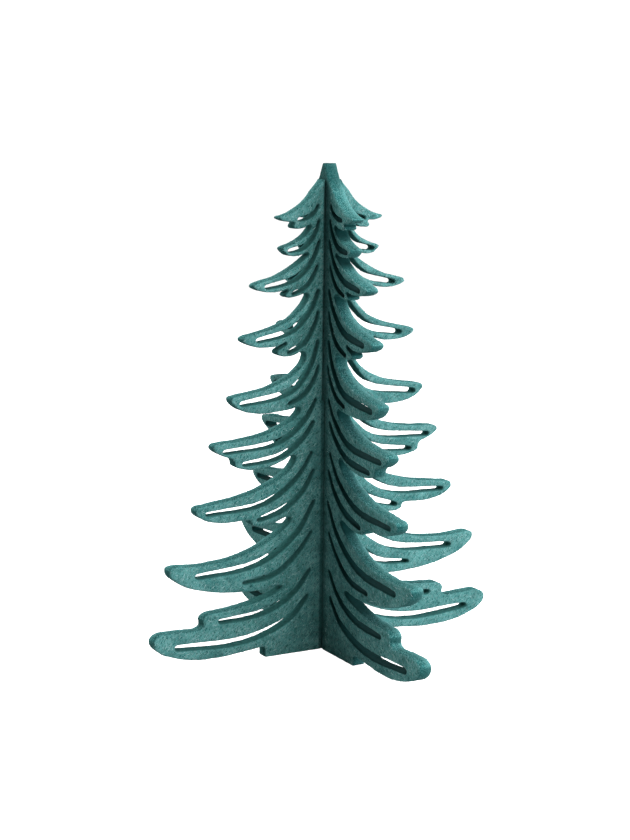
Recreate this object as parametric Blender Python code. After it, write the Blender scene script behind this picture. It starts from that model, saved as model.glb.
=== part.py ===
# Felt Christmas tree: two flat felt panels of one branch outline, slotted into each other crosswise.
# Lengths are in metres. The tree stands on z = 0, and its spine is the Z axis.
import math

import bpy
from mathutils import Vector

# Driving sizes of the whole tree
TREE_HEIGHT = 0.300
BRANCH_REACH = 0.121
FELT_THICKNESS = 0.009

# The two slots: the felt of one panel slides in the slot of the other
SLOT_CLEARANCE = 0.0004
SLOT_MEETING_HEIGHT = 0.157
SLOT_END_GAP = 0.0004

# Flat top of the panel that is whole there, and the feet that both panels stand on
CROWN_WIDTH = 0.0020
FOOT_REACH = 0.0434
FOOT_HEIGHT = 0.0070

# Widest cut among the veins that open up each branch. A vein widens over the first share of its run
# and narrows a little over the last one
VEIN_WIDTH = 0.0048
VEIN_SPINE_SHARE = 0.55
VEIN_WIDENING_SHARE = 0.50
VEIN_TIP_SHARE = 0.75
VEIN_NARROWING_SHARE = 0.20

# Fineness of the curves
EDGE_STEPS = 4
VEIN_STATIONS = 12
VEIN_END_STEPS = 4

# Edge of one wing, as shares of its width (from the slot wall outwards) and of the tree's height
CROWN_SHARES = (
    (0.000, 0.974), (0.020, 0.962), (0.054, 0.948), (0.096, 0.928), (0.186, 0.905),
)
EDGE_SHARES = (
    # First tier: long tip, then the small lobe under it
    (0.228, 0.899), (0.263, 0.894), (0.249, 0.890), (0.206, 0.886), (0.164, 0.885), (0.184, 0.879),
    (0.182, 0.874), (0.153, 0.872), (0.119, 0.874), (0.089, 0.880), (0.075, 0.878),
    # Second tier
    (0.086, 0.869), (0.120, 0.856), (0.191, 0.842), (0.233, 0.837), (0.244, 0.834), (0.227, 0.825),
    (0.199, 0.819), (0.127, 0.821), (0.101, 0.826), (0.088, 0.823),
    # Third tier
    (0.103, 0.816), (0.256, 0.781), (0.368, 0.769), (0.399, 0.765), (0.406, 0.760), (0.385, 0.754),
    (0.294, 0.748), (0.233, 0.751), (0.205, 0.754), (0.199, 0.750), (0.223, 0.745), (0.225, 0.739),
    (0.188, 0.736), (0.141, 0.740), (0.102, 0.744), (0.087, 0.741),
    # Fourth tier
    (0.092, 0.733), (0.154, 0.704), (0.210, 0.689), (0.401, 0.667), (0.450, 0.663), (0.470, 0.657),
    (0.453, 0.649), (0.292, 0.639), (0.238, 0.645), (0.216, 0.649), (0.214, 0.644), (0.248, 0.636),
    (0.274, 0.627), (0.251, 0.620), (0.208, 0.618), (0.164, 0.621), (0.125, 0.627), (0.109, 0.624),
    # Fifth tier
    (0.102, 0.616), (0.139, 0.592), (0.285, 0.561), (0.433, 0.549), (0.506, 0.545), (0.536, 0.540),
    (0.520, 0.528), (0.429, 0.510), (0.222, 0.509), (0.172, 0.512), (0.143, 0.515), (0.130, 0.511),
    # Sixth tier
    (0.138, 0.502), (0.257, 0.474), (0.492, 0.455), (0.588, 0.453), (0.630, 0.449), (0.633, 0.442),
    (0.606, 0.433), (0.565, 0.425), (0.527, 0.420), (0.515, 0.414), (0.511, 0.405), (0.483, 0.399),
    (0.361, 0.394), (0.222, 0.408), (0.180, 0.416), (0.158, 0.415),
    # Seventh tier
    (0.178, 0.393), (0.219, 0.379), (0.281, 0.365), (0.456, 0.342), (0.674, 0.330), (0.728, 0.326),
    (0.736, 0.318), (0.712, 0.307), (0.590, 0.292), (0.508, 0.291), (0.441, 0.292), (0.420, 0.290),
    (0.416, 0.283), (0.390, 0.277), (0.332, 0.277), (0.267, 0.282), (0.203, 0.290), (0.176, 0.288),
    # Eighth tier
    (0.185, 0.279), (0.227, 0.265), (0.292, 0.248), (0.459, 0.221), (0.673, 0.210), (0.778, 0.211),
    (0.847, 0.213), (0.882, 0.208), (0.883, 0.198), (0.855, 0.185), (0.730, 0.161), (0.417, 0.143),
    (0.329, 0.144), (0.262, 0.148), (0.230, 0.146),
    # Ninth tier: a step, then the longest branch, which ends at the foot
    (0.244, 0.139), (0.311, 0.128), (0.505, 0.112), (0.602, 0.109), (0.668, 0.106), (0.695, 0.097),
    (0.691, 0.085), (0.710, 0.078), (0.768, 0.077), (0.847, 0.078), (0.959, 0.073), (0.974, 0.060),
    (0.948, 0.044), (0.886, 0.031), (0.698, 0.015),
)

# Middle line of each vein from the spine to the tip, in the same shares, and its share of the widest cut
VEIN_SHARES = (
    ((0.034, 0.922), (0.062, 0.904), (0.108, 0.894), (0.154, 0.891), 0.58),
    ((0.031, 0.889), (0.060, 0.861), (0.118, 0.837), (0.206, 0.829), 0.69),
    ((0.028, 0.848), (0.078, 0.805), (0.177, 0.773), (0.336, 0.759), 0.76),
    ((0.030, 0.808), (0.057, 0.783), (0.105, 0.758), (0.185, 0.743), 0.56),
    ((0.030, 0.749), (0.081, 0.709), (0.191, 0.670), (0.383, 0.654), 0.84),
    ((0.031, 0.707), (0.053, 0.680), (0.112, 0.645), (0.207, 0.626), 0.64),
    ((0.032, 0.645), (0.083, 0.593), (0.205, 0.546), (0.474, 0.529), 0.90),
    ((0.026, 0.597), (0.053, 0.569), (0.112, 0.539), (0.201, 0.522), 0.61),
    ((0.040, 0.528), (0.109, 0.487), (0.265, 0.446), (0.571, 0.435), 0.78),
    ((0.053, 0.482), (0.114, 0.451), (0.245, 0.418), (0.460, 0.407), 0.80),
    ((0.059, 0.420), (0.154, 0.368), (0.350, 0.323), (0.671, 0.313), 0.74),
    ((0.049, 0.382), (0.111, 0.343), (0.220, 0.309), (0.375, 0.290), 0.80),
    ((0.045, 0.317), (0.157, 0.252), (0.384, 0.200), (0.727, 0.188), 0.92),
    ((0.058, 0.254), (0.142, 0.212), (0.277, 0.174), (0.459, 0.163), 0.70),
    ((0.068, 0.173), (0.170, 0.127), (0.347, 0.096), (0.596, 0.089), 0.84),
    ((0.080, 0.118), (0.207, 0.072), (0.468, 0.043), (0.840, 0.047), 1.00),
)

# Dyed pressed felt: colour, roughness and metallic value
FELT_COLOUR = (0.065, 0.235, 0.215, 1.0)
FELT_ROUGHNESS = 0.95
FELT_METALLIC = 0.0

SLOT_HALF_WIDTH = FELT_THICKNESS / 2 + SLOT_CLEARANCE
TOP_SLOT_FLOOR = SLOT_MEETING_HEIGHT - SLOT_END_GAP / 2
BOTTOM_SLOT_ROOF = SLOT_MEETING_HEIGHT + SLOT_END_GAP / 2


def clear_scene():
    for thing in list(bpy.data.objects):
        bpy.data.objects.remove(thing, do_unlink=True)


def felt_material(name):
    material = bpy.data.materials.new(name)
    material.use_nodes = True
    shader = material.node_tree.nodes["Principled BSDF"]
    shader.inputs["Base Color"].default_value = FELT_COLOUR
    shader.inputs["Roughness"].default_value = FELT_ROUGHNESS
    shader.inputs["Metallic"].default_value = FELT_METALLIC
    material.diffuse_color = FELT_COLOUR
    return material


def wing_point(shares):
    width_share, height_share = shares
    wing_width = BRANCH_REACH - SLOT_HALF_WIDTH
    return Vector((SLOT_HALF_WIDTH + width_share * wing_width, height_share * TREE_HEIGHT))


# One half of a panel's outline from the top down to the foot: smooth points, then sharp corners
def half_outline(slot_at_top):
    edge = [wing_point(shares) for shares in CROWN_SHARES + EDGE_SHARES]
    foot = [Vector((FOOT_REACH, FOOT_HEIGHT)), Vector((FOOT_REACH, 0))]
    if slot_at_top:
        ear, edge = edge[0], edge[1:]
        before = [Vector((SLOT_HALF_WIDTH, TOP_SLOT_FLOOR)), ear]
        after = foot
    else:
        before = [Vector((CROWN_WIDTH / 2, TREE_HEIGHT))]
        slot = [Vector((SLOT_HALF_WIDTH, 0)), Vector((SLOT_HALF_WIDTH, BOTTOM_SLOT_ROOF))]
        after = foot + slot
    points = before + edge + after
    corners = [True] * len(before) + [False] * len(edge) + [True] * len(after)
    return list(zip(points, corners))


def mirrored(points):
    return [Vector((-point.x, point.y)) for point in points]


def add_outline(curve, slot_at_top):
    half = half_outline(slot_at_top)
    corners = [corner for point, corner in half]
    points = [point for point, corner in half]
    ring = points + mirrored(points)[::-1]
    ring_corners = corners + corners[::-1]
    spline = curve.splines.new("BEZIER")
    spline.bezier_points.add(len(ring) - 1)
    spline.use_cyclic_u = True
    spline.resolution_u = EDGE_STEPS
    for knot, point, corner in zip(spline.bezier_points, ring, ring_corners):
        knot.co = point.to_3d()
        knot.handle_left_type = "VECTOR" if corner else "AUTO"
        knot.handle_right_type = knot.handle_left_type


# Place on a smooth line through the points, counted in spans from the first point
def line_place(points, spans):
    index = min(int(spans), len(points) - 2)
    part = spans - index
    first = points[index]
    last = points[index + 1]
    leaving = (last - points[index - 1]) / 2 if index > 0 else last - first
    arriving = (points[index + 2] - first) / 2 if index + 2 < len(points) else last - first
    square, cube = part ** 2, part ** 3
    return (
        first * (2 * cube - 3 * square + 1)
        + leaving * (cube - 2 * square + part)
        + last * (3 * square - 2 * cube)
        + arriving * (cube - square)
    )


# Round end of a vein: the points between its left and right side, past the centre in its heading
def vein_end(centre, heading, reach):
    left = Vector((-heading.y, heading.x))
    turns = [math.pi * k / VEIN_END_STEPS for k in range(1, VEIN_END_STEPS)]
    return [centre + (left * math.cos(turn) + heading * math.sin(turn)) * reach for turn in turns]


# Half the width of a vein at a share of its run from the spine to the tip
def vein_half_width(width_share, run):
    widening = VEIN_SPINE_SHARE + (1 - VEIN_SPINE_SHARE) * run / VEIN_WIDENING_SHARE
    narrowing = VEIN_TIP_SHARE + (1 - VEIN_TIP_SHARE) * (1 - run) / VEIN_NARROWING_SHARE
    return VEIN_WIDTH / 2 * width_share * min(widening, 1, narrowing)


# Ring of points round one vein: up one side to its round tip end, and back down the other
def vein_ring(row):
    line = [wing_point(shares) for shares in row[:-1]]
    width_share = row[-1]
    places = [line_place(line, (len(line) - 1) * k / (VEIN_STATIONS - 1)) for k in range(VEIN_STATIONS)]
    one_side, other_side = [], []
    for k, place in enumerate(places):
        along = (places[min(k + 1, VEIN_STATIONS - 1)] - places[max(k - 1, 0)]).normalized()
        across = Vector((-along.y, along.x))
        half_here = vein_half_width(width_share, k / (VEIN_STATIONS - 1))
        one_side.append(place + across * half_here)
        other_side.append(place - across * half_here)
    tip_end = vein_end(places[-1], (places[-1] - places[-2]).normalized(), vein_half_width(width_share, 1))
    spine_end = vein_end(places[0], (places[0] - places[1]).normalized(), vein_half_width(width_share, 0))
    return one_side + tip_end + other_side[::-1] + spine_end


def add_vein(curve, ring):
    spline = curve.splines.new("POLY")
    spline.points.add(len(ring) - 1)
    spline.use_cyclic_u = True
    for knot, point in zip(spline.points, ring):
        knot.co = (point.x, point.y, 0, 1)


# One flat panel, drawn upright: its own X runs along the panel, and its spine stays on the Z axis
def add_panel(name, collection, parent, slot_at_top, heading):
    curve = bpy.data.curves.new(name, "CURVE")
    curve.dimensions = "2D"
    curve.fill_mode = "BOTH"
    curve.extrude = FELT_THICKNESS / 2
    add_outline(curve, slot_at_top)
    for row in VEIN_SHARES:
        ring = vein_ring(row)
        add_vein(curve, ring)
        add_vein(curve, mirrored(ring))
    curve.materials.append(felt_material(name + "_felt"))
    panel = bpy.data.objects.new(name, curve)
    panel.rotation_euler = (math.pi / 2, 0, heading)
    panel.parent = parent
    collection.objects.link(panel)
    return panel


def build():
    clear_scene()
    collection = bpy.data.collections.new("felt_christmas_tree")
    bpy.context.scene.collection.children.link(collection)
    spine = bpy.data.objects.new("tree_spine", None)
    collection.objects.link(spine)
    add_panel("top_slotted_panel", collection, spine, slot_at_top=True, heading=0)
    add_panel("bottom_slotted_panel", collection, spine, slot_at_top=False, heading=math.pi / 2)


build()
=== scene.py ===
# Looks of the felt Christmas tree: two slotted panels of pressed felt, on a white studio floor.
import math

import bpy
import numpy as np
from mathutils import Matrix, Vector
from mathutils.bvhtree import BVHTree


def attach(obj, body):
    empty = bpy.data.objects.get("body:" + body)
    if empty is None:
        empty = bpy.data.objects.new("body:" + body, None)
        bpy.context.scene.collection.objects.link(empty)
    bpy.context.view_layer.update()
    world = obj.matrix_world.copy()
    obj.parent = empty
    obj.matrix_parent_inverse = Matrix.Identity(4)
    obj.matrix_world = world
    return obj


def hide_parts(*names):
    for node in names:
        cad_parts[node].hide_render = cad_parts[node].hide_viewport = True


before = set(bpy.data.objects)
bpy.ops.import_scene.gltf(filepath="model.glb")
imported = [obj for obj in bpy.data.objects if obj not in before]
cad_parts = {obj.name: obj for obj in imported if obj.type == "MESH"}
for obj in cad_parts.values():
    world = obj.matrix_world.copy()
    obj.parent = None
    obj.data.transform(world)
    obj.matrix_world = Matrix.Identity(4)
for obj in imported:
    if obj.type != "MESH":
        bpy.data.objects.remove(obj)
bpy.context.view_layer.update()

# Each panel's body, the axis that it runs along and the axis through its felt
PANELS = {
    "top_slotted_panel": ("standing_panel", "X", "Y"),
    "bottom_slotted_panel": ("lifting_panel", "Y", "X"),
}
AXES = {"X": 0, "Y": 1, "Z": 2}

# Panel: how finely it is meshed and how far its die-cut edges are softened
WELD_REACH = 0.000008
MESH_GRAIN = 0.0008
EDGE_SOFTENING = 0.5
EDGE_ROUNDS = 4
KEPT_TRIANGLES = 190000

# Size and height of the pressed surface's lumps, which rise as far as they sink
LUMPS = {
    "swell": (0.016, 0.00035),
    "lump": (0.0022, 0.00022),
}
LUMP_MIDDLE = 0.5

# Slots: how far a point on a cut wall looks for the wall across from it, and in which directions
SLOT_SIGHT = 0.014
SIGHT_START = 0.0003
SIGHT_TURNS = [math.radians(turn) for turn in (-35, 0, 35)]
WALL_SLOPE = 0.3

# Strands of fibre: each is a flat spindle that lies on a face or stands off a rim
FIBRE_SIDES = 3
FIBRE_RINGS = 5
FIBRE_SEED = 12
FIBRE_FLATNESS = 0.25
FIBRE_LEAN = math.radians(42)
FIBRE_LEAN_SPREAD = math.radians(32)
FIBRE_BEND_SHARE = 0.12
FIBRE_SINK = 0.00002
FACE_FIBRES = 5800
FACE_FIBRE_LENGTHS = (0.0012, 0.0034)
FACE_FIBRE_LIFTS = (0.00003, 0.00014)
FACE_FIBRE_RADII = (0.00007, 0.00016)
RIM_FIBRES = 2100
RIM_FIBRE_LENGTHS = (0.0008, 0.0022)
RIM_FIBRE_LIFTS = (0.00015, 0.00055)
RIM_FIBRE_RADII = (0.00005, 0.00011)

# Where fibres grow: clear of the other panel and the floor, and on rims outside the deep slots
SPINE_ROOM = 0.0095
FLOOR_ROOM = 0.0020
FACE_SQUARENESS = 0.93
RIM_SQUARENESS = (0.15, 0.85)
OPEN_SLOT_DEPTH = 0.25
SMALLEST_AREA = 1e-12

# Colours of the faces, from the deepest fibre to the pale lint, and of the painted shade at the spine
DEEP_TEAL = (0.0040, 0.026, 0.025, 1.0)
MID_TEAL = (0.0130, 0.079, 0.075, 1.0)
PALE_TEAL = (0.068, 0.182, 0.174, 1.0)
GREY_TEAL = (0.150, 0.246, 0.239, 1.0)
LINT_TEAL = (0.200, 0.320, 0.315, 1.0)
SPINE_SHADE_TEAL = (0.003, 0.024, 0.023, 1.0)

# Colours of the cut walls and of the painted highlight on their rims. Inside the veins each panel has a
# deep and a middle shade, and the lifting panel's are dark as painted shade
EDGE_DEEP_TEAL = (0.003, 0.026, 0.025, 1.0)
EDGE_TEAL = (0.010, 0.073, 0.070, 1.0)
EDGE_FUZZ_AND_LIGHT_TEAL = (0.095, 0.240, 0.234, 1.0)
RIM_HIGHLIGHT_TEAL = (0.110, 0.270, 0.262, 1.0)
SLOT_TEALS_WITH_PAINTED_SHADE = {
    "top_slotted_panel": ((0.013, 0.060, 0.057, 1.0), (0.025, 0.098, 0.092, 1.0)),
    "bottom_slotted_panel": ((0.0025, 0.021, 0.020, 1.0), (0.0035, 0.026, 0.025, 1.0)),
}

# Streaks of fibre: their directions, size, and how much of the felt they cover
PALE_TURNS = [math.radians(turn) for turn in (26, 40, 50, 60, 74, 104, 146)]
PALE_LENGTH = 0.0036
PALE_WIDTH = 0.00042
PALE_LEVELS = (0.55, 0.71)
PALE_SHARE = 0.76
DARK_TURNS = [math.radians(turn) for turn in (22, 60, 110, 148)]
DARK_LENGTH = 0.0040
DARK_WIDTH = 0.00055
DARK_LEVELS = (0.60, 0.78)
DARK_SHARE = 0.50
STREAK_STEP = Vector((0.031, 0.053, 0.017))
STREAK_GRAIN = 1.0

# A slow drift bends the streaks
BEND_SIZE = 0.007
BEND_REACH = 0.0013
BEND_MIDDLE = (0.5, 0.5, 0.5)

# Clouds, specks, patches and greyness: size, detail and roughness, and the shades that they give
CLOUD_GRAIN = (0.0018, 2.0, 0.6)
CLOUD_SHADES = (0.28, 0.72, 0.15, 1.0)
SPECK_GRAIN = (0.0005, 1.0, 0.6)
SPECK_LEVELS = (0.64, 0.78)
SPECK_SHARE = 0.30
PATCH_GRAIN = (0.011, 1.0, 0.5)
PATCH_SHADES = (0.30, 0.70, 0.55, 1.0)
GREY_GRAIN = (0.0013, 1.0, 0.5)
GREY_LEVELS = (0.48, 0.66)
GREY_SHARE = 0.50

# How squarely the surface faces out of the sheet where the cut wall ends and the flat face begins
FACE_LEVELS = (0.55, 0.90)

# Cut walls have specks of fuzz. Painted light makes them paler towards their far side, and painted shade
# makes them darker where they stand upright
EDGE_FUZZ_LEVELS = (0.50, 0.62)
EDGE_FUZZ_SHARE = 0.66
PAINTED_FAR_LIGHT = (-0.0010, 0.0045)
PAINTED_FAR_LIGHT_SHARE = 0.42
UPWARD_LEVELS = (0.05, 0.65)
PAINTED_SIDE_SHADE_SHARE = 0.62
# Slot depths over which the walls take the vein colour, painted shade on the lifting panel
SLOT_SHADE_LEVELS = (0.12, 0.50)

# Painted highlight along the rims of the cuts, as of fuzz lit from behind, fainter inside a vein and on
# the near side
RIM_RISE = (0.30, 0.55)
RIM_FALL = (0.80, 0.97)
RIM_HIGHLIGHT_SHARE = 0.35
RIM_SLOT_SHARE = 0.3
RIM_NEAR_SHARE = 0.35

# Painted shade in the corner along the spine, where the panels meet: full out to the first distance from
# the spine, gone by the second, with its share at each end
PAINTED_SPINE_SHADE = {
    "top_slotted_panel": (0.0053, 0.0068, 0.65, 0.0),
    "bottom_slotted_panel": (0.0055, 0.0130, 0.62, 0.0),
}

# Relief of the streaks, specks and clouds, and the felt's dull finish
PALE_RISE = 0.6
SPECK_RISE = 0.5
CLOUD_RISE = 0.6
BUMP_STRENGTH = 0.35
BUMP_HEIGHT = 0.0002
FELT_ROUGHNESS = 0.95
SHEEN_WEIGHT = 0.03
SHEEN_ROUGHNESS = 0.5
SHEEN_TINT = (0.55, 0.85, 0.82, 1.0)
NO_SHINE = 0.0

# Loose fibres go from the felt's middle teal to pale teal, and the palest of them to lint
LOOSE_PALE_LEVELS = (0.0, 0.6)
LOOSE_LINT_LEVELS = (0.6, 1.0)

# Studio: each light's place, width, power and colour
LIGHTS = {
    "key": (Vector((1.36, -1.34, 0.5)), 0.9, 71, (1.0, 1.0, 1.06)),
    "front_top": (Vector((0.2, -1.4, 1.4)), 0.9, 43, (1.0, 1.0, 1.0)),
    "back_top": (Vector((-1.0, 1.2, 1.3)), 1.0, 38, (1.0, 1.0, 1.0)),
    "overhead": (Vector((0.1, 0.1, 2.0)), 0.9, 26, (1.0, 1.0, 1.0)),
}
LIGHT_AIM = Vector((0, 0, 0.12))
WHITE = (1.0, 1.0, 1.0, 1.0)

# The studio's walls are white up to a height above the horizon, and dark behind the camera
WALL_TOP = (math.sin(math.radians(12)), math.sin(math.radians(35)))
CEILING_SHARE = 0.05
DARK_SIDE = Vector((-0.485, -0.862, 0.149))
DARK_SIDE_LEVELS = (0.25, 0.85)
DARK_SIDE_SHARE = 0.95
WALL_GLOW = 1.1

# White floor, lit from below like a light table
FLOOR_WIDTH = 3
FLOOR_WHITE = (0.66, 0.66, 0.66, 1.0)
FLOOR_ROUGHNESS = 0.9
FLOOR_GLOW = 1.0

# Camera, from the photograph
CAMERA_PLACE = Vector((-0.53511676, -0.94186363, 0.34110862))
CAMERA_YAW = math.radians(29.236)
CAMERA_PITCH = math.radians(10.318)
CAMERA_ROLL = math.radians(0.645)
CAMERA_LENS = 76.995
CAMERA_SENSOR = 36.0


def use_only(thing):
    bpy.ops.object.select_all(action="DESELECT")
    bpy.context.view_layer.objects.active = thing
    thing.select_set(True)


def apply_modifiers(thing):
    use_only(thing)
    for modifier in list(thing.modifiers):
        bpy.ops.object.modifier_apply(modifier=modifier.name)


def lumps(name, size):
    texture = bpy.data.textures.new(name, "CLOUDS")
    texture.noise_scale = size
    texture.noise_depth = 1
    texture.noise_basis = "BLENDER_ORIGINAL"
    return texture


def triangle_count(mesh):
    return sum(len(face.vertices) - 2 for face in mesh.polygons)


# One panel: the flat cut-out's own outline, with softened edges and the lumps of pressed fibre
def felt_panel(node, name):
    panel = bpy.data.objects.new(name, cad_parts[node].data.copy())
    panel.data.materials.clear()
    bpy.context.scene.collection.objects.link(panel)
    use_only(panel)
    bpy.ops.object.mode_set(mode="EDIT")
    bpy.ops.mesh.select_all(action="SELECT")
    bpy.ops.mesh.remove_doubles(threshold=WELD_REACH)
    bpy.ops.object.mode_set(mode="OBJECT")
    remesh = panel.modifiers.new("press", "REMESH")
    remesh.mode = "VOXEL"
    remesh.voxel_size = MESH_GRAIN
    soften = panel.modifiers.new("soften", "SMOOTH")
    soften.factor = EDGE_SOFTENING
    soften.iterations = EDGE_ROUNDS
    for label, (size, height) in LUMPS.items():
        push = panel.modifiers.new(label, "DISPLACE")
        push.texture = lumps(label, size)
        push.texture_coords = "LOCAL"
        push.strength = height
        push.mid_level = LUMP_MIDDLE
    apply_modifiers(panel)
    count = triangle_count(panel.data)
    if count > KEPT_TRIANGLES:
        thin = panel.modifiers.new("thin", "DECIMATE")
        thin.ratio = KEPT_TRIANGLES / count
        apply_modifiers(panel)
    # The feet rest flat on the table
    for vertex in panel.data.vertices:
        vertex.co.z = max(vertex.co.z, 0)
    panel.data.shade_smooth()
    return panel


# Marks how deep in a slot each point of a cut wall sits: 0 on an open edge, near 1 where walls almost meet
def mark_slots(panel, through):
    mesh = panel.data
    felt = BVHTree.FromPolygons([v.co for v in mesh.vertices], [f.vertices for f in mesh.polygons])
    turns = [Matrix.Rotation(turn, 3, "XYZ"[through]) for turn in SIGHT_TURNS]
    depths = np.zeros(len(mesh.vertices))
    for vertex in mesh.vertices:
        outward = vertex.normal.copy()
        outward[through] = 0
        if outward.length < WALL_SLOPE:
            continue
        outward.normalize()
        for turn in turns:
            look = turn @ outward
            found = felt.ray_cast(vertex.co + outward * SIGHT_START, look, SLOT_SIGHT)
            if found[0] is not None:
                depths[vertex.index] += (1 - found[3] / SLOT_SIGHT) / len(turns)
    attribute = mesh.attributes.new("slot_depth", "FLOAT", "POINT")
    attribute.data.foreach_set("value", depths.astype(np.float32))


# Corners, outward normal, area and slot depth of every triangle of the panel
def felt_triangles(panel):
    mesh = panel.data
    mesh.calc_loop_triangles()
    corners = np.zeros(len(mesh.loop_triangles) * 3, dtype=np.int32)
    mesh.loop_triangles.foreach_get("vertices", corners)
    corners = corners.reshape(-1, 3)
    places = np.zeros(len(mesh.vertices) * 3, dtype=np.float32)
    mesh.vertices.foreach_get("co", places)
    places = places.reshape(-1, 3)[corners]
    depths = np.zeros(len(mesh.vertices), dtype=np.float32)
    mesh.attributes["slot_depth"].data.foreach_get("value", depths)
    crossed = np.cross(places[:, 1] - places[:, 0], places[:, 2] - places[:, 0])
    doubled = np.linalg.norm(crossed, axis=1)
    normals = crossed / np.maximum(doubled, SMALLEST_AREA)[:, None]
    return places, normals, doubled / 2, depths[corners].mean(axis=1)


# Roots for a number of fibres, spread evenly over the chosen triangles
def fibre_roots(places, normals, areas, chosen, count, chance):
    shares = np.where(chosen, areas, 0)
    picked = chance.choice(len(shares), size=count, p=shares / shares.sum())
    first, second = np.sort(chance.random((2, count)), axis=0)
    weights = np.stack([first, second - first, 1 - second], axis=1)
    return (places[picked] * weights[:, :, None]).sum(axis=1), normals[picked]


def between(chance, limits, count):
    return limits[0] + (limits[1] - limits[0]) * chance.random(count)


# Bends and lays one spindle for each root. A free strand lifts one end, the others arch between both ends
def lay_fibres(spindle, roots, normals, leans, lengths, lifts, radii, free, chance):
    sideways = leans - normals * (leans * normals).sum(axis=1)[:, None]
    along = sideways / np.linalg.norm(sideways, axis=1)[:, None]
    across = np.cross(normals, along)
    bends = lengths * FIBRE_BEND_SHARE * between(chance, (-1, 1), len(roots))
    run = spindle[:, 2]
    arch = 1 - run ** 2
    rise = ((run + 1) / 2) ** 2 if free else arch
    forward = run * lengths[:, None] / 2
    aside = bends[:, None] * arch + radii[:, None] * spindle[:, 0]
    upward = lifts[:, None] * rise - FIBRE_SINK + radii[:, None] * FIBRE_FLATNESS * spindle[:, 1]
    points = roots[:, None, :] + along[:, None, :] * forward[:, :, None]
    points = points + across[:, None, :] * aside[:, :, None]
    return points + normals[:, None, :] * upward[:, :, None]


# All the loose fibres of one panel, as one piece
def loose_fibres(panel, name, through):
    bpy.ops.object.select_all(action="DESELECT")
    bpy.ops.mesh.primitive_uv_sphere_add(segments=FIBRE_SIDES, ring_count=FIBRE_RINGS, radius=1)
    piece = bpy.context.object
    template = piece.data
    spindle = np.array([vertex.co for vertex in template.vertices])
    sides = [tuple(face.vertices) for face in template.polygons]
    chance = np.random.default_rng(FIBRE_SEED + through)
    places, normals, areas, depths = felt_triangles(panel)
    middles = places.mean(axis=1)
    along = 1 - through
    squareness = np.abs(normals[:, through])
    roomy = (np.abs(middles[:, along]) > SPINE_ROOM) & (middles[:, 2] > FLOOR_ROOM)
    on_face = roomy & (squareness > FACE_SQUARENESS)
    on_rim = roomy & (squareness > RIM_SQUARENESS[0]) & (squareness < RIM_SQUARENESS[1])
    on_rim = on_rim & (depths < OPEN_SLOT_DEPTH)
    laid = []
    for chosen, count, lengths, lifts, radii, free in (
        (on_face, FACE_FIBRES, FACE_FIBRE_LENGTHS, FACE_FIBRE_LIFTS, FACE_FIBRE_RADII, False),
        (on_rim, RIM_FIBRES, RIM_FIBRE_LENGTHS, RIM_FIBRE_LIFTS, RIM_FIBRE_RADII, True),
    ):
        roots, outward = fibre_roots(places, normals, areas, chosen, count, chance)
        turns = chance.normal(FIBRE_LEAN, FIBRE_LEAN_SPREAD, count)
        leans = np.zeros((count, 3))
        leans[:, along] = np.cos(turns)
        leans[:, 2] = np.sin(turns)
        laid.append(lay_fibres(
            spindle, roots, outward, leans, between(chance, lengths, count), between(chance, lifts, count),
            between(chance, radii, count), free, chance,
        ))
    points = np.concatenate(laid)
    starts = (np.arange(len(points)) * len(spindle)).tolist()
    faces = [[start + corner for corner in side] for start in starts for side in sides]
    mesh = bpy.data.meshes.new(name)
    mesh.from_pydata(points.reshape(-1, 3).tolist(), [], faces)
    tones = np.repeat(chance.random(len(points)), len(spindle)).astype(np.float32)
    attribute = mesh.attributes.new("fibre_tone", "FLOAT", "POINT")
    attribute.data.foreach_set("value", tones)
    mesh.shade_smooth()
    piece.data = mesh
    bpy.data.meshes.remove(template)
    piece.name = name
    return piece


# Gives a node's input either a value or what feeds it
def feed(tree, target, value):
    value = value.outputs[0] if hasattr(value, "outputs") else value
    if isinstance(value, bpy.types.NodeSocket):
        tree.links.new(value, target)
    else:
        target.default_value = value


# Adds a node to a material's tree, with its inputs given by name or number
def add(tree, kind, inputs=None, **settings):
    node = tree.nodes.new(kind)
    for label, value in settings.items():
        setattr(node, label, value)
    for label, value in (inputs or {}).items():
        feed(tree, node.inputs[label], value)
    return node


def sum_of(tree, first, second):
    return add(tree, "ShaderNodeMath", {0: first, 1: second}, operation="ADD")


def product(tree, first, second):
    return add(tree, "ShaderNodeMath", {0: first, 1: second}, operation="MULTIPLY")


def larger(tree, first, second):
    return add(tree, "ShaderNodeMath", {0: first, 1: second}, operation="MAXIMUM")


def without_sign(tree, value):
    return add(tree, "ShaderNodeMath", {0: value}, operation="ABSOLUTE")


def ramp(tree, value, low, high, from_share=0.0, to_share=1.0):
    return add(
        tree, "ShaderNodeMapRange",
        {"Value": value, "From Min": low, "From Max": high, "To Min": from_share, "To Max": to_share},
        interpolation_type="SMOOTHSTEP",
    )


def grain(tree, place, size, detail=0.0, rough=0.5):
    return add(
        tree, "ShaderNodeTexNoise",
        {"Vector": place, "Scale": 1 / size, "Detail": detail, "Roughness": rough},
    )


def blend_colours(tree, share, first, second):
    node = add(tree, "ShaderNodeMix", data_type="RGBA", blend_type="MIX")
    inputs = {entry.identifier: entry for entry in node.inputs}
    feed(tree, inputs["Factor_Float"], share)
    feed(tree, inputs["A_Color"], first)
    feed(tree, inputs["B_Color"], second)
    return next(entry for entry in node.outputs if entry.identifier == "Result_Color")


# Short straight streaks in several directions, laid over each other
def fibre_mat(tree, place, turns, length, width, levels):
    mat = None
    for number, turn in enumerate(turns):
        turned = add(
            tree, "ShaderNodeMapping",
            {
                "Vector": place,
                "Location": STREAK_STEP * number,
                "Rotation": (0, 0, turn),
                "Scale": (length, width, width),
            },
            vector_type="TEXTURE",
        )
        streaks = ramp(tree, grain(tree, turned, STREAK_GRAIN), *levels)
        mat = streaks if mat is None else larger(tree, mat, streaks)
    return mat


def new_material(name):
    material = bpy.data.materials.new(name)
    material.use_nodes = True
    tree = material.node_tree
    return material, tree, tree.nodes["Principled BSDF"]


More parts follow.
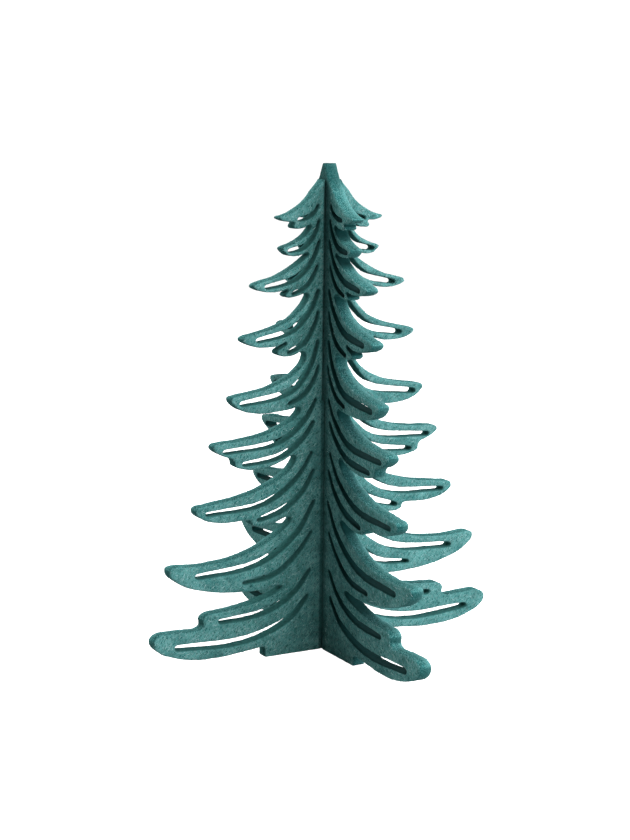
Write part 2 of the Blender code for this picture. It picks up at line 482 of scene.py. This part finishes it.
# A finish shared by the felt and its loose fibres: dull, with a faint bloom at grazing angles
def dull_finish(shader):
    shader.inputs["Roughness"].default_value = FELT_ROUGHNESS
    shader.inputs["Specular IOR Level"].default_value = NO_SHINE
    shader.inputs["Sheen Weight"].default_value = SHEEN_WEIGHT
    shader.inputs["Sheen Roughness"].default_value = SHEEN_ROUGHNESS
    shader.inputs["Sheen Tint"].default_value = SHEEN_TINT


# The patterns in the felt: streaks of pale and dark fibre, and grains of several sizes
def felt_patterns(tree, place):
    drift = grain(tree, place, BEND_SIZE).outputs["Color"]
    pull = add(tree, "ShaderNodeVectorMath", {0: drift, 1: BEND_MIDDLE}, operation="SUBTRACT")
    reach = add(tree, "ShaderNodeVectorMath", {0: pull, "Scale": BEND_REACH}, operation="SCALE")
    bent = add(tree, "ShaderNodeVectorMath", {0: place, 1: reach}, operation="ADD")
    return {
        "pale": fibre_mat(tree, bent, PALE_TURNS, PALE_LENGTH, PALE_WIDTH, PALE_LEVELS),
        "dark": fibre_mat(tree, bent, DARK_TURNS, DARK_LENGTH, DARK_WIDTH, DARK_LEVELS),
        "cloud": grain(tree, place, *CLOUD_GRAIN),
        "speck": grain(tree, place, *SPECK_GRAIN),
        "patch": grain(tree, place, *PATCH_GRAIN),
        "grey": grain(tree, bent, *GREY_GRAIN),
    }


# The flat faces: teal clouds, dark streaks, pale streaks that are grey in places, and specks of lint
def face_colour(tree, felt, tone):
    colour = blend_colours(tree, tone, DEEP_TEAL, MID_TEAL)
    colour = blend_colours(tree, product(tree, felt["dark"], DARK_SHARE), colour, DEEP_TEAL)
    grey_here = product(tree, ramp(tree, felt["grey"], *GREY_LEVELS), GREY_SHARE)
    pale_colour = blend_colours(tree, grey_here, PALE_TEAL, GREY_TEAL)
    pale_here = product(tree, felt["pale"], ramp(tree, felt["patch"], *PATCH_SHADES))
    colour = blend_colours(tree, product(tree, pale_here, PALE_SHARE), colour, pale_colour)
    lint_here = product(tree, ramp(tree, felt["speck"], *SPECK_LEVELS), SPECK_SHARE)
    return blend_colours(tree, lint_here, colour, LINT_TEAL)


# The cut walls: specks of fuzz, painted light towards the far side, painted shade where they stand
# upright, and deep inside a vein or slot the vein colour, which is painted shade on the lifting panel
def wall_colour(tree, node, felt, tone, far_light_mask, upward, slot_shade_mask):
    colour = blend_colours(tree, tone, EDGE_DEEP_TEAL, EDGE_TEAL)
    fuzz_here = product(tree, ramp(tree, felt["speck"], *EDGE_FUZZ_LEVELS), EDGE_FUZZ_SHARE)
    colour = blend_colours(tree, fuzz_here, colour, EDGE_FUZZ_AND_LIGHT_TEAL)
    # Painted light: the wall grows paler towards its far side, as though lit from behind
    colour = blend_colours(tree, product(tree, far_light_mask, PAINTED_FAR_LIGHT_SHARE), colour, EDGE_FUZZ_AND_LIGHT_TEAL)
    # Painted shade: walls that stand upright are darker than those that face up
    side_shade_mask = ramp(tree, upward, *UPWARD_LEVELS, PAINTED_SIDE_SHADE_SHARE, 0.0)
    colour = blend_colours(tree, side_shade_mask, colour, EDGE_DEEP_TEAL)
    # Deep inside a vein or slot the wall takes its panel's vein colour, dark as painted shade on the
    # lifting panel
    return blend_colours(tree, slot_shade_mask, colour, blend_colours(tree, tone, *SLOT_TEALS_WITH_PAINTED_SHADE[node]))


# Where the painted highlight lies along the rims of the cuts
def painted_rim_highlight(tree, squareness, far_light_mask, slot_shade_mask):
    band = product(tree, ramp(tree, squareness, *RIM_RISE), ramp(tree, squareness, *RIM_FALL, 1.0, 0.0))
    open_share = ramp(tree, slot_shade_mask, 0.0, 1.0, 1.0, RIM_SLOT_SHARE)
    far_share = ramp(tree, far_light_mask, 0.0, 1.0, RIM_NEAR_SHARE, 1.0)
    return product(tree, product(tree, product(tree, band, open_share), RIM_HIGHLIGHT_SHARE), far_share)


# Teal pressed felt. The felt's own frame has its third axis through the sheet
def felt_material(node, along_axis, through_axis):
    material, tree, shader = new_material("felt_of_" + node)
    coordinates = add(tree, "ShaderNodeTexCoord")
    split = add(tree, "ShaderNodeSeparateXYZ", {0: coordinates.outputs["Object"]})
    facing = add(tree, "ShaderNodeSeparateXYZ", {0: coordinates.outputs["Normal"]})
    along = split.outputs[along_axis]
    through = split.outputs[through_axis]
    place = add(tree, "ShaderNodeCombineXYZ", {"X": along, "Y": split.outputs["Z"], "Z": through})
    depth = add(tree, "ShaderNodeAttribute", attribute_name="slot_depth")
    slot_shade_mask = ramp(tree, depth.outputs["Fac"], *SLOT_SHADE_LEVELS)
    squareness = without_sign(tree, facing.outputs[through_axis])
    # How far across the sheet the painted light on the cut walls reaches
    far_light_mask = ramp(tree, through, *PAINTED_FAR_LIGHT)

    felt = felt_patterns(tree, place)
    tone = ramp(tree, felt["cloud"], *CLOUD_SHADES)
    faces = face_colour(tree, felt, tone)
    walls = wall_colour(tree, node, felt, tone, far_light_mask, facing.outputs["Z"], slot_shade_mask)
    colour = blend_colours(tree, ramp(tree, squareness, *FACE_LEVELS), walls, faces)
    # Painted highlight along the rims of the cuts
    colour = blend_colours(tree, painted_rim_highlight(tree, squareness, far_light_mask, slot_shade_mask), colour, RIM_HIGHLIGHT_TEAL)
    # Painted shade in the corner along the spine
    painted_spine_shade = ramp(tree, without_sign(tree, along), *PAINTED_SPINE_SHADE[node])
    colour = blend_colours(tree, painted_spine_shade, colour, SPINE_SHADE_TEAL)
    tree.links.new(colour, shader.inputs["Base Color"])

    height = sum_of(tree, product(tree, felt["pale"], PALE_RISE), product(tree, felt["speck"], SPECK_RISE))
    height = sum_of(tree, height, product(tree, felt["cloud"], CLOUD_RISE))
    bump = add(
        tree, "ShaderNodeBump", {"Strength": BUMP_STRENGTH, "Distance": BUMP_HEIGHT, "Height": height},
    )
    tree.links.new(bump.outputs["Normal"], shader.inputs["Normal"])
    dull_finish(shader)
    return material


def fibre_material(name):
    material, tree, shader = new_material(name)
    tone = add(tree, "ShaderNodeAttribute", attribute_name="fibre_tone").outputs["Fac"]
    colour = blend_colours(tree, ramp(tree, tone, *LOOSE_PALE_LEVELS), MID_TEAL, PALE_TEAL)
    colour = blend_colours(tree, ramp(tree, tone, *LOOSE_LINT_LEVELS), colour, LINT_TEAL)
    tree.links.new(colour, shader.inputs["Base Color"])
    dull_finish(shader)
    return material


# The floor and the walls are seen as plain white, whatever light they give to the tree
def white_floor():
    bpy.ops.object.select_all(action="DESELECT")
    bpy.ops.mesh.primitive_plane_add(size=FLOOR_WIDTH, location=(0, 0, 0))
    floor = bpy.context.object
    floor.name = "studio_floor"
    material, tree, shader = new_material("white_floor")
    shader.inputs["Base Color"].default_value = FLOOR_WHITE
    shader.inputs["Roughness"].default_value = FLOOR_ROUGHNESS
    shader.inputs["Specular IOR Level"].default_value = NO_SHINE
    shader.inputs["Emission Color"].default_value = WHITE
    rays = add(tree, "ShaderNodeLightPath")
    glow = product(tree, rays.outputs["Is Camera Ray"], FLOOR_GLOW)
    tree.links.new(glow.outputs[0], shader.inputs["Emission Strength"])
    floor.data.materials.append(material)


def studio_walls():
    world = bpy.data.worlds.new("studio")
    bpy.context.scene.world = world
    world.use_nodes = True
    tree = world.node_tree
    facing = add(tree, "ShaderNodeTexCoord").outputs["Generated"]
    height = add(tree, "ShaderNodeSeparateXYZ", {0: facing})
    wall = ramp(tree, height.outputs["Z"], *WALL_TOP, 1.0, CEILING_SHARE)
    behind = add(
        tree, "ShaderNodeVectorMath", {0: facing, 1: DARK_SIDE.normalized()}, operation="DOT_PRODUCT",
    )
    open_side = ramp(tree, behind.outputs["Value"], *DARK_SIDE_LEVELS, 1.0, 1.0 - DARK_SIDE_SHARE)
    rays = add(tree, "ShaderNodeLightPath")
    glow = product(tree, rays.outputs["Is Camera Ray"], WALL_GLOW)
    seen = larger(tree, product(tree, wall, open_side), glow)
    background = tree.nodes["Background"]
    background.inputs["Color"].default_value = WHITE
    tree.links.new(seen.outputs[0], background.inputs["Strength"])


def studio_lights():
    for name, (place, width, power, colour) in LIGHTS.items():
        light = bpy.data.lights.new(name, "AREA")
        light.shape = "DISK"
        light.size = width
        light.energy = power
        light.color = colour
        lamp = bpy.data.objects.new(name, light)
        lamp.location = place
        lamp.rotation_euler = (LIGHT_AIM - place).to_track_quat("-Z", "Y").to_euler()
        bpy.context.scene.collection.objects.link(lamp)


def photo_camera():
    forward = Vector((
        math.sin(CAMERA_YAW) * math.cos(CAMERA_PITCH),
        math.cos(CAMERA_YAW) * math.cos(CAMERA_PITCH),
        -math.sin(CAMERA_PITCH),
    ))
    right = Vector((math.cos(CAMERA_YAW), -math.sin(CAMERA_YAW), 0))
    up = right.cross(forward)
    turned_right = right * math.cos(CAMERA_ROLL) + up * math.sin(CAMERA_ROLL)
    turned_up = up * math.cos(CAMERA_ROLL) - right * math.sin(CAMERA_ROLL)
    data = bpy.data.cameras.new("photo_camera")
    data.lens = CAMERA_LENS
    data.sensor_width = CAMERA_SENSOR
    camera = bpy.data.objects.new("photo_camera", data)
    camera.matrix_world = Matrix((
        (turned_right.x, turned_up.x, -forward.x, CAMERA_PLACE.x),
        (turned_right.y, turned_up.y, -forward.y, CAMERA_PLACE.y),
        (turned_right.z, turned_up.z, -forward.z, CAMERA_PLACE.z),
        (0, 0, 0, 1),
    ))
    bpy.context.scene.collection.objects.link(camera)
    bpy.context.scene.camera = camera


loose_finish = fibre_material("loose_felt_fibres")
for node, (body, along_axis, through_axis) in PANELS.items():
    panel = felt_panel(node, "felt_" + node)
    mark_slots(panel, AXES[through_axis])
    panel.data.materials.append(felt_material(node, along_axis, through_axis))
    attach(panel, body)
    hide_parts(node)
    fibres = loose_fibres(panel, "fibres_of_" + node, AXES[through_axis])
    fibres.data.materials.append(loose_finish)
    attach(fibres, body)

bpy.context.scene.view_settings.view_transform = "Standard"
white_floor()
studio_walls()
studio_lights()
photo_camera()
